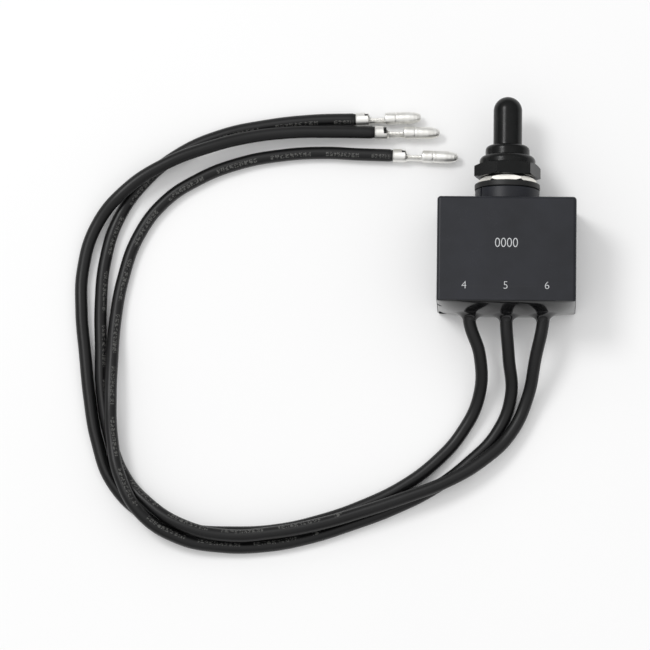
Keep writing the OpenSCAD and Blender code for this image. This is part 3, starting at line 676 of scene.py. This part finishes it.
inside = (
    arc(0, round_a, BORE_R, 90, 0, 12)
    + straight(BORE_R, round_a - BEND_STEP, BORE_R, finger_a - SHOULDER_WALL)
    + straight(SHOULDER_BORE_R, finger_a - SHOULDER_WALL, SHOULDER_BORE_R, bevel_a + 2 * LEDGE)
    + [(BUSHING_BORE_R, bevel_a + 2 * LEDGE), (BUSHING_BORE_R, bevel_a)]
    + straight(INSERT_R, bevel_a, INSERT_R, hex_a)
    + straight(BUSHING_BORE_R, hex_a, BUSHING_BORE_R, BOOT_A))
boot = spin_outline("rubber_boot", outside + inside, steps=96)
print("boot outline:", len(outside + inside), "points,", len(boot.data.polygons), "faces")

# %% [markdown]
# ## The boot's hexagon
# Turning a corner off a prism by hand needs a loop of cuts. Intersecting it with the double cone does all
# twelve corners at once, and a narrow bevel then softens the edges as a rubber mould does.

# %% Hexagon
HEX_AF = 16.8 * MM
HEX_TURN = -12.5
HEX_CHAMFER = 0.3 * MM
HEX_EDGE, EDGE_STEPS, EDGE_ANGLE = 0.14 * MM, 2, 25
SKIN = 0.1 * MM
# Turn of Blender's six-sided cylinder from a corner to a flat, in degrees
PRIMITIVE_TURN = 30
flat_r = HEX_AF / 2
corner_r = HEX_AF / math.sqrt(3)
full_h = HEX_H + BEVEL_H
deselect_all()
bpy.ops.mesh.primitive_cylinder_add(vertices=6, radius=corner_r, depth=full_h)
hexagon = bpy.context.object
hexagon.data.transform(Matrix.Rotation(math.radians(-HEX_TURN - PRIMITIVE_TURN), 4, "Z"))
hexagon.data.transform(Matrix.Translation((0, CASE_TOP + hex_a + full_h / 2, AXIS_Z))
                       @ Matrix.Rotation(-math.pi / 2, 4, "X"))
rim_h = HEX_CHAMFER * (corner_r + SKIN - flat_r) / (corner_r - flat_r)
bevel_drop = SKIN * BEVEL_H / (corner_r - DOME_R)
cone = spin_outline("corner_cone", [
    (0, hex_a - SKIN), (flat_r, hex_a - SKIN), (flat_r, hex_a), (corner_r + SKIN, hex_a + rim_h),
    (corner_r + SKIN, bevel_a - bevel_drop), (DOME_R, dome_a + SKIN), (0, dome_a + SKIN)])
combine(hexagon, cone, "INTERSECT")
soft = hexagon.modifiers.new("soft_edges", "BEVEL")
soft.width = HEX_EDGE
soft.segments = EDGE_STEPS
soft.limit_method = "ANGLE"
soft.angle_limit = math.radians(EDGE_ANGLE)
apply_modifiers(hexagon)
ring = spin_outline("ring_space", [(0, hex_a - OVER), (INSERT_R, hex_a - OVER),
                                   (INSERT_R, bevel_a), (SHOULDER_BORE_R, bevel_a),
                                   (SHOULDER_BORE_R, dome_a + OVER), (0, dome_a + OVER)])
combine(hexagon, ring, "DIFFERENCE")
combine(boot, hexagon, "UNION")
smooth_shade(boot, 30)
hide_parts("boot")
print("boot:", len(boot.data.polygons), "faces")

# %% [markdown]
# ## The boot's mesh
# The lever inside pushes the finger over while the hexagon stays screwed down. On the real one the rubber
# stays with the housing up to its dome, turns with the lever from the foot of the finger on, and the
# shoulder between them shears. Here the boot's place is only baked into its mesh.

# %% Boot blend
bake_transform(boot)

# %% [markdown]
# ## The plunger's spring
# When the lever goes over, the plunger slides into its tail and squeezes the spring. The CAD spring only
# rides on the lever, so a copy of its mesh takes its place.

# %% Spring
spring = new_piece("squeezed_spring", nodes["plunger_spring"].data.copy())
edit(spring, "VERT", "SELECT")
bpy.ops.mesh.remove_doubles(threshold=MERGE)
bpy.ops.object.mode_set(mode="OBJECT")
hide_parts("plunger_spring")
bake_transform(spring)

# %% [markdown]
# ## The printed numbers
# White numbers are pad-printed on the front: one over each lead and four plain noughts in the middle.
# They could be painted in the material, but letters made from text stay sharp at any size. A text object
# becomes a mesh first, and only then takes its place, so its own coordinates stay true.

# %% Numbers
PRINT_T = 0.02 * MM
TEXT_STEPS = 6
# How far the strokes of the numbers are widened, so a negative value thins them
STROKE = -0.05 * MM
# Each number: what it says, the middle of it on the face, its height and how far it is drawn together
NUMBERS = [("0000", -0.05 * MM, 1.4 * MM, 2.75 * MM, 0.86)] + [
    (mark, x * MM, -10.8 * MM, 2.2 * MM, 1) for mark, x in (("4", -11.95), ("5", -0.2), ("6", 11.5))]


def print_number(text, x, y, height, narrow):
    """Makes one number as a thin mesh on the front of the case."""
    deselect_all()
    bpy.ops.object.text_add()
    number = bpy.context.object
    number.data.body = text
    number.data.align_x = "CENTER"
    number.data.align_y = "CENTER"
    number.data.resolution_u = TEXT_STEPS
    bpy.context.view_layer.update()
    number.data.size = height / number.dimensions.y
    number.data.extrude = PRINT_T
    number.data.offset = STROKE
    bpy.ops.object.convert(target="MESH")
    number = bpy.context.object
    number.scale.x = narrow
    number.location = (x, y, case_high.z)
    bpy.ops.object.transform_apply()
    return number


printed = [print_number(*number) for number in NUMBERS]
deselect_all()
for number in printed:
    number.select_set(True)
bpy.context.view_layer.objects.active = printed[0]
bpy.ops.object.join()
numbers = bpy.context.object
numbers.name = "printed_numbers"
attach(numbers, "housing")
print("numbers:", len(numbers.data.polygons), "faces")

# %% [markdown]
# ## Shared effects
# Real surfaces are never one colour: mouldings have flow clouds and a fine grain, and handled ones have
# rub marks and dust. These effects serve most of the materials, so they are node groups that give masks
# between 0 and 1, and every material decides itself what a mask changes.

# %% Node groups
def add_node(tree, kind, **settings):
    """Adds a node and sets its properties."""
    node = tree.nodes.new(kind)
    for key, value in settings.items():
        setattr(node, key, value)
    return node


def set_inputs(node, **values):
    """Sets the input sockets of a node by name, with an underscore for each space."""
    for key, value in values.items():
        node.inputs[key.replace("_", " ")].default_value = value


def maths(tree, operation, *values):
    """Adds a Math node that works on sockets or plain numbers, and gives its result."""
    node = add_node(tree, "ShaderNodeMath", operation=operation)
    for socket, value in zip(node.inputs, values):
        if isinstance(value, (int, float)):
            socket.default_value = value
        else:
            tree.links.new(value, socket)
    return node.outputs[0]


def map_range(tree, source, low, high, to_low=0.0, to_high=1.0):
    """Stretches a value from one range to another and gives the output socket."""
    node = add_node(tree, "ShaderNodeMapRange")
    tree.links.new(source, node.inputs["Value"])
    set_inputs(node, From_Min=low, From_Max=high, To_Min=to_low, To_Max=to_high)
    return node.outputs["Result"]


def start_group(name, inputs):
    """Starts a node group with number inputs and one mask as its output."""
    group = bpy.data.node_groups.new(name, "ShaderNodeTree")
    for label, value in inputs.items():
        socket = group.interface.new_socket(name=label, in_out="INPUT", socket_type="NodeSocketFloat")
        socket.default_value = value
    group.interface.new_socket(name="Mask", in_out="OUTPUT", socket_type="NodeSocketFloat")
    place = add_node(group, "ShaderNodeTexCoord").outputs["Object"]
    return group, place, add_node(group, "NodeGroupInput"), add_node(group, "NodeGroupOutput")


def cloud_group(name, scale, detail, low, high):
    """Soft or fine clouds of noise, stretched to the whole range."""
    group, place, given, result = start_group(name, {"Scale": scale})
    noise = add_node(group, "ShaderNodeTexNoise")
    set_inputs(noise, Detail=detail, Roughness=0.55)
    group.links.new(place, noise.inputs["Vector"])
    group.links.new(given.outputs["Scale"], noise.inputs["Scale"])
    group.links.new(map_range(group, noise.outputs["Fac"], low, high), result.inputs["Mask"])
    return group


def dust_group():
    """Sparse specks of dust: the middles of random cells, kept only where a wider noise is high."""
    group, place, given, result = start_group("dust_specks", {"Scale": 2300, "Size": 0.2})
    cells = add_node(group, "ShaderNodeTexVoronoi")
    patches = add_node(group, "ShaderNodeTexNoise")
    set_inputs(patches, Scale=170, Detail=3)
    for texture in (cells, patches):
        group.links.new(place, texture.inputs["Vector"])
    group.links.new(given.outputs["Scale"], cells.inputs["Scale"])
    speck = maths(group, "LESS_THAN", cells.outputs["Distance"], given.outputs["Size"])
    kept = maths(group, "MULTIPLY", speck, map_range(group, patches.outputs["Fac"], 0.54, 0.66))
    group.links.new(kept, result.inputs["Mask"])
    return group


def rub_group():
    """Fine rub marks: noise drawn out along one direction and cut down to thin lines."""
    group, place, given, result = start_group("rub_marks", {"Scale": 260, "Stretch": 0.06})
    drawn_out = add_node(group, "ShaderNodeCombineXYZ")
    set_inputs(drawn_out, Y=1, Z=1)
    group.links.new(given.outputs["Stretch"], drawn_out.inputs["X"])
    turned = add_node(group, "ShaderNodeMapping")
    turned.inputs["Rotation"].default_value = (0.3, 0.2, 0.7)
    group.links.new(place, turned.inputs["Vector"])
    group.links.new(drawn_out.outputs[0], turned.inputs["Scale"])
    noise = add_node(group, "ShaderNodeTexNoise")
    set_inputs(noise, Detail=4, Roughness=0.6)
    group.links.new(turned.outputs[0], noise.inputs["Vector"])
    group.links.new(given.outputs["Scale"], noise.inputs["Scale"])
    group.links.new(map_range(group, noise.outputs["Fac"], 0.6, 0.72), result.inputs["Mask"])
    return group


flow_clouds = cloud_group("flow_clouds", scale=140, detail=3, low=0.32, high=0.68)
fine_grain = cloud_group("fine_grain", scale=3000, detail=2, low=0.3, high=0.7)
dust_specks = dust_group()
rub_marks = rub_group()
print("node groups:", [g.name for g in bpy.data.node_groups])

# %% [markdown]
# ## One recipe for a surface
# Every material starts from the same recipe: clouds vary the colour and the gloss a little, the grain
# makes a fine bump, and rub marks or dust are mixed in where the surface has them.

# %% Surface recipe
BUMP_DEPTH = 0.05 * MM
DUST_COLOUR = (0.16, 0.16, 0.16)
# A Mix node has sockets for every kind of data: these are the two colours and the mixed colour
COLOUR_A, COLOUR_B, COLOUR_OUT = 6, 7, 2


def mask(tree, group, **values):
    """Places a shared effect in a material and gives its mask."""
    node = add_node(tree, "ShaderNodeGroup", node_tree=group)
    set_inputs(node, **values)
    return node.outputs["Mask"]


def mix_colour(tree, factor, under, over, amount=1.0):
    """Lays one colour over another where the factor is high, and gives the mixed colour."""
    node = add_node(tree, "ShaderNodeMix", data_type="RGBA")
    tree.links.new(map_range(tree, factor, 0, 1, 0, amount), node.inputs["Factor"])
    for side, colour in ((COLOUR_A, under), (COLOUR_B, over)):
        if isinstance(colour, tuple):
            node.inputs[side].default_value = (*colour, 1)
        else:
            tree.links.new(colour, node.inputs[side])
    return node.outputs[COLOUR_OUT]


def surface(name, dark, light, roughness, metallic=0.0, specular=0.5, clouds=140, grain=3000, bump=0.1,
            dust=0.0, rubs=0.0, rub_colour=(0.1, 0.1, 0.1)):
    """Makes a material from the recipe. The roughness is a pair: where the clouds are dark, and light."""
    material = bpy.data.materials.new(name)
    material.use_nodes = True
    tree = material.node_tree
    shader = tree.nodes["Principled BSDF"]
    set_inputs(shader, Metallic=metallic, Specular_IOR_Level=specular)
    cloud = mask(tree, flow_clouds, Scale=clouds)
    colour = mix_colour(tree, cloud, dark, light)
    if rubs:
        colour = mix_colour(tree, mask(tree, rub_marks), colour, rub_colour, rubs)
    if dust:
        colour = mix_colour(tree, mask(tree, dust_specks), colour, DUST_COLOUR, dust)
    tree.links.new(colour, shader.inputs["Base Color"])
    tree.links.new(map_range(tree, cloud, 0, 1, *roughness), shader.inputs["Roughness"])
    relief = add_node(tree, "ShaderNodeBump")
    set_inputs(relief, Strength=bump, Distance=BUMP_DEPTH)
    tree.links.new(mask(tree, fine_grain, Scale=grain), relief.inputs["Height"])
    tree.links.new(relief.outputs["Normal"], shader.inputs["Normal"])
    return material


def dress(piece, material):
    """Gives a piece one material in place of whatever it had."""
    piece.data.materials.clear()
    piece.data.materials.append(material)


# %% [markdown]
# ## Plastic, rubber and epoxy
# All four are black, and only the way they shine tells them apart: the case is satin, the boot has a faint
# sheen and some dust, the gasket is dull, and the epoxy is like glass.

# %% Black materials
case_plastic = surface("satin_case_plastic", (0.0045, 0.0053, 0.009), (0.0115, 0.0128, 0.019), (0.38, 0.5),
                       specular=0.36, clouds=70, grain=2600, bump=0.14, dust=0.1, rubs=0.2,
                       rub_colour=(0.03, 0.031, 0.034))
epoxy_gloss = surface("glossy_epoxy", (0.004, 0.004, 0.0045), (0.007, 0.007, 0.0075), (0.08, 0.14),
                      specular=0.42, clouds=210, grain=700, bump=0.05, dust=0.1)
gasket_rubber = surface("gasket_rubber", (0.005, 0.0052, 0.0055), (0.010, 0.0102, 0.0108), (0.42, 0.52),
                        specular=0.36, clouds=300, grain=4200, bump=0.15, dust=0.15)
boot_rubber = surface("boot_rubber", (0.002, 0.0023, 0.0023), (0.0052, 0.0057, 0.0056), (0.22, 0.28),
                      specular=0.2, clouds=240, grain=3600, bump=0.1, dust=0.08, rubs=0.15,
                      rub_colour=(0.015, 0.015, 0.0155))
blacks = {case: case_plastic, epoxy: epoxy_gloss, gasket: gasket_rubber, boot: boot_rubber}
for piece, material in blacks.items():
    dress(piece, material)
    print(piece.name, "is", material.name)

# %% [markdown]
# ## The leads' insulation
# Wire insulation carries a line of pale print. The curve gives each lead texture coordinates: U runs along
# its length and V round it. The print is only hinted at: a narrow band of V is divided into small cells, a
# random half of them is pale, and gaps part them into signs and words that say nothing.

# %% Insulation
# Where the print starts along a lead, and the band that it takes round it, as shares of U and V
PRINT_START, BAND = 0.3, (0.115, 0.225)
CELLS_ALONG, CELLS_ROUND = 1060, 46
# Cells in the width of a sign and words on a whole lead, each with the share of it that is not a gap
SIGN_CELLS, SIGN_SHARE = 4, 0.75
WORDS, WORD_SHARE = 22, 0.75
PALE_SHARE = 0.5
PRINT_COLOUR, PRINT_STRENGTH = (0.2, 0.2, 0.19), 0.4


def between(tree, value, low, high):
    """A mask that is 1 where a value lies between two limits."""
    above = maths(tree, "GREATER_THAN", value, low)
    return maths(tree, "MULTIPLY", above, maths(tree, "LESS_THAN", value, high))


def repeat(tree, value, count):
    """Counts a value up and starts again at each whole number."""
    return maths(tree, "FRACT", maths(tree, "MULTIPLY", value, count))


def product(tree, *values):
    """Multiplies masks, so that the result is 1 only where they all are."""
    result = values[0]
    for value in values[1:]:
        result = maths(tree, "MULTIPLY", result, value)
    return result


insulation = surface("wire_insulation", (0.0022, 0.0022, 0.0024), (0.005, 0.005, 0.0054), (0.36, 0.46),
                     specular=0.34, clouds=60, grain=1500, bump=0.06, dust=0.08)
tree = insulation.node_tree
base = tree.nodes["Principled BSDF"].inputs["Base Color"]
along_round = add_node(tree, "ShaderNodeSeparateXYZ")
tree.links.new(add_node(tree, "ShaderNodeTexCoord").outputs["UV"], along_round.inputs[0])
along, turn = along_round.outputs["X"], along_round.outputs["Y"]
cell = add_node(tree, "ShaderNodeCombineXYZ")
for value, count, side in ((along, CELLS_ALONG, "X"), (turn, CELLS_ROUND, "Y")):
    whole = maths(tree, "FLOOR", maths(tree, "MULTIPLY", value, count))
    tree.links.new(whole, cell.inputs[side])
chance = add_node(tree, "ShaderNodeTexWhiteNoise", noise_dimensions="2D")
tree.links.new(cell.outputs[0], chance.inputs["Vector"])
marks = product(tree, between(tree, turn, *BAND), between(tree, along, PRINT_START, 1),
                maths(tree, "GREATER_THAN", chance.outputs["Value"], PALE_SHARE),
                between(tree, repeat(tree, along, CELLS_ALONG / SIGN_CELLS), 0, SIGN_SHARE),
                between(tree, repeat(tree, along, WORDS), 0, WORD_SHARE))
plain = base.links[0].from_socket
tree.links.new(mix_colour(tree, marks, plain, PRINT_COLOUR, PRINT_STRENGTH), base)
for lead in leads.values():
    dress(lead, insulation)
print("insulation on", len(leads), "leads")

# %% [markdown]
# ## Metal and print
# Tin plate is bright and a little uneven, as hot dipping leaves it. The nut's plating is smoother. The
# white print is slightly worn, so its clouds are fine and take small bites out of its brightness.

# %% Metal and print
tin_plate = surface("tin_plate", (0.82, 0.81, 0.77), (0.93, 0.925, 0.9), (0.34, 0.48), metallic=1.0,
                    clouds=420, grain=1600, bump=0.14, rubs=0.2, rub_colour=(0.66, 0.64, 0.59))
tinned_copper = surface("tinned_strands", (0.8, 0.79, 0.75), (0.92, 0.91, 0.88), (0.4, 0.5), metallic=1.0,
                        clouds=900, grain=2600, bump=0.1)
nickel = surface("nickel_plate", (0.78, 0.755, 0.7), (0.88, 0.86, 0.81), (0.28, 0.38), metallic=1.0,
                 clouds=260, grain=2400, bump=0.06, rubs=0.2, rub_colour=(0.45, 0.43, 0.4))
white_print = surface("white_print", (0.48, 0.49, 0.5), (0.66, 0.67, 0.68), (0.5, 0.6), clouds=1500,
                      grain=4000, bump=0.1)
for mark in ROUTES:
    dress(terminals[mark], tin_plate)
    dress(strands[mark], tinned_copper)
dress(numbers, white_print)
print("bright materials:", tin_plate.name, tinned_copper.name, nickel.name, white_print.name)

# %% [markdown]
# ## The pieces inside
# The mechanism is hidden by the case and the boot, and it keeps its CAD shapes, because they are measured
# and nobody sees them. They get materials all the same, so that the switch can be taken apart.

# %% Inner materials
# Each material: colour where its clouds are dark and light, roughness, whether it is metal, and its pieces
INNER = {
    "plain_brass": ((0.6, 0.43, 0.18), (0.72, 0.54, 0.26), (0.22, 0.34), True,
                    ["boot_insert", "common_terminal", "terminal_4", "terminal_6"]),
    "zinc_steel": ((0.42, 0.42, 0.43), (0.56, 0.56, 0.57), (0.3, 0.42), True, ["pivot_pin", "frame_plate"]),
    "natural_nylon": ((0.7, 0.68, 0.6), (0.8, 0.78, 0.7), (0.4, 0.5), False, ["plunger"]),
    "brown_phenolic": ((0.09, 0.036, 0.018), (0.14, 0.06, 0.03), (0.4, 0.5), False, ["switch_base"]),
    "bare_copper": ((0.66, 0.33, 0.17), (0.78, 0.44, 0.26), (0.24, 0.36), True, ["rocker"]),
    "contact_silver": ((0.74, 0.74, 0.72), (0.84, 0.84, 0.82), (0.2, 0.3), True,
                       ["rocker_contacts", "fixed_contacts"]),
}
INNER_CLOUDS = 300
for piece in ("panel_nut", "bushing", "lever"):
    dress(nodes[piece], nickel)
for name, (dark, light, roughness, metal, pieces) in INNER.items():
    material = surface(name, dark, light, roughness, metallic=float(metal), clouds=INNER_CLOUDS)
    for piece in pieces:
        dress(nodes[piece], material)
dress(spring, bpy.data.materials["zinc_steel"])
print("inner materials:", ", ".join(INNER))

# %% [markdown]
# ## The table
# The table is nearly white and takes a soft shadow. In the photo it is lighter than any paper in a room
# would be, so the camera and the mirrors see a share of plain white mixed into it. That share fades where
# the switch or a lead is near, by ambient occlusion, so the narrow gaps stay dark. Other rays see only
# the paper, so the switch gets no more light from it than from a real table.

# %% Table
TABLE_SIZE, TABLE_DROP = 8, 0.05 * MM
# Share of white on the open table, reach of the occlusion, and how open a place is that gets no white
TABLE_GLOW, GLOW_REACH, NO_GLOW = 0.34, 20 * MM, 0.15
bpy.ops.mesh.primitive_plane_add(size=TABLE_SIZE, location=(0, 0, -TABLE_DROP))
table = bpy.context.object
table.name = "pale_table"
paper = surface("pale_table", (0.915, 0.915, 0.915), (0.94, 0.94, 0.94), (0.75, 0.8), specular=0.2,
                clouds=6, grain=900, bump=0.02)
tree = paper.node_tree
path = add_node(tree, "ShaderNodeLightPath")
seen = path.outputs["Is Camera Ray"]
for kind in ("Is Glossy Ray", "Is Transmission Ray"):
    seen = maths(tree, "MAXIMUM", seen, path.outputs[kind])
white = add_node(tree, "ShaderNodeEmission")
lifted = add_node(tree, "ShaderNodeMixShader")
open_sky = add_node(tree, "ShaderNodeAmbientOcclusion", samples=8)
set_inputs(open_sky, Distance=GLOW_REACH)
share = product(tree, seen, open_sky.outputs["AO"])
tree.links.new(map_range(tree, share, NO_GLOW, 1, 0, TABLE_GLOW), lifted.inputs["Fac"])
tree.links.new(tree.nodes["Principled BSDF"].outputs["BSDF"], lifted.inputs[1])
tree.links.new(white.outputs["Emission"], lifted.inputs[2])
tree.links.new(lifted.outputs["Shader"], tree.nodes["Material Output"].inputs["Surface"])
dress(table, paper)
print("table:", table.name)

# %% [markdown]
# ## Light
# The photo was lit by a bright ceiling and one soft lamp at the upper left. The ceiling is the world: white
# overhead and darker towards the horizon, which also draws the thin dark lines along the case's edges. The
# lamp gives the shadows to the lower right and the stripe of light on the boot.

# %% Light
CEILING, HORIZON = 1.0, 0.25
LAMP_PLACE = Vector((-0.85, 0.6, 1.5))
LAMP_AIM = Vector((-0.03, -0.02, 0.0))
LAMP_SIZE, LAMP_POWER = 0.6, 12
bpy.ops.object.light_add(type="AREA", location=LAMP_PLACE)
lamp = bpy.context.object
lamp.rotation_euler = (LAMP_AIM - LAMP_PLACE).to_track_quat("-Z", "Y").to_euler()
lamp.data.shape = "DISK"
lamp.data.size = LAMP_SIZE
lamp.data.energy = LAMP_POWER

world = bpy.data.worlds.new("white_ceiling")
bpy.context.scene.world = world
world.use_nodes = True
tree = world.node_tree
upwards = add_node(tree, "ShaderNodeSeparateXYZ")
tree.links.new(add_node(tree, "ShaderNodeTexCoord").outputs["Generated"], upwards.inputs[0])
tree.links.new(map_range(tree, upwards.outputs["Z"], 0, 1, HORIZON, CEILING),
               tree.nodes["Background"].inputs["Strength"])
set_inputs(tree.nodes["Background"], Color=(1, 1, 1, 1))
bpy.context.scene.view_settings.view_transform = "Standard"
print("lamp:", lamp.data.energy, "W at", tuple(lamp.location))
